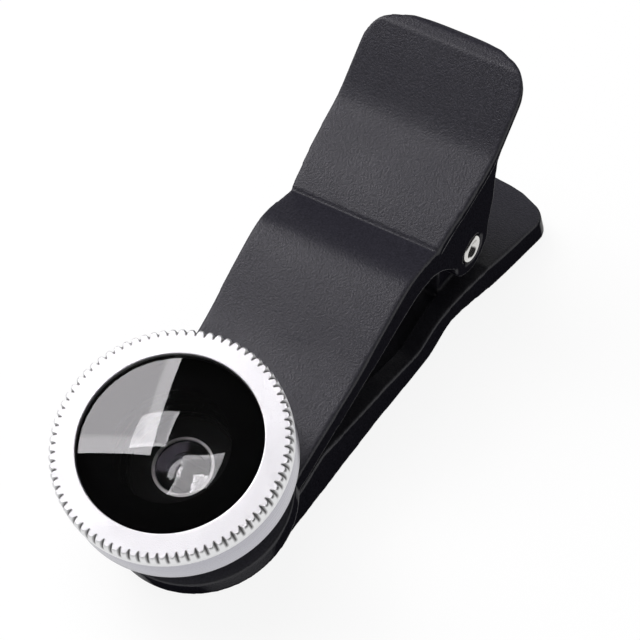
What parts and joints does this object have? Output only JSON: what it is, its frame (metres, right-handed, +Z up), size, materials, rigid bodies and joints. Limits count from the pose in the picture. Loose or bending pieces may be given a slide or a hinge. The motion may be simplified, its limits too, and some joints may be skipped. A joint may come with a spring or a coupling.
{
  "type": "clip on phone lens",
  "caption": "Sprung clip with rubber pads that holds a screw-in wide lens with a knurled metal ring over a phone's camera.",
  "frame": {"origin": "bottom centre of the clip's box as it stands on its nose and heel on a table", "axes": "+Z up, +Y from the lens back to the handles, +X across the clip to the right as seen from behind the lens; the lens looks up and forwards"},
  "size_m": [0.025, 0.0804, 0.032],
  "materials": {
    "black_plastic": "fine spark-eroded grain, matt black",
    "pad_rubber": "matt black rubber",
    "pin_steel": "bright rolled rivet",
    "spring_steel": "drawn spring wire",
    "barrel_aluminium": "turned and anodised silver",
    "ring_aluminium": "bead-blasted silver, knurled edge",
    "lens_glass": "polished and coated",
    "black_anodised": "black anodised, matt"
  },
  "bodies": {
    "lower_jaw": {"lower_arm": "black_plastic", "lower_pad": "pad_rubber", "hinge_pin": "pin_steel", "torsion_spring": "spring_steel"},
    "upper_jaw": {"upper_arm": "black_plastic", "upper_pad": "pad_rubber"},
    "lens": {"lens_barrel": "barrel_aluminium", "front_ring": "ring_aluminium", "front_glass": "lens_glass", "baffle_cone": "black_anodised", "lock_ring": "black_anodised", "inner_glass": "lens_glass", "spacer_tube": "black_anodised", "stop_ring": "black_anodised", "rear_glass": "lens_glass", "rear_cap_glass": "lens_glass"}
  },
  "joints": [
    {"name": "jaw_open", "type": "hinge", "parent": "lower_jaw", "child": "upper_jaw", "pos_m": [0, 0.01833, 0.01303], "axis": [-1, 0, 0], "range_deg": [0, 26], "stiffness_Nm_per_rad": 0.6, "springref_deg": -28.65, "deforming": ["torsion_spring"]},
    {"name": "lens_turn", "type": "hinge", "parent": "upper_jaw", "child": "lens", "pos_m": [0, -0.02872, 0.02007], "axis": [0, -0.3779, 0.9259], "range_deg": [0, 1440]}
  ]
}
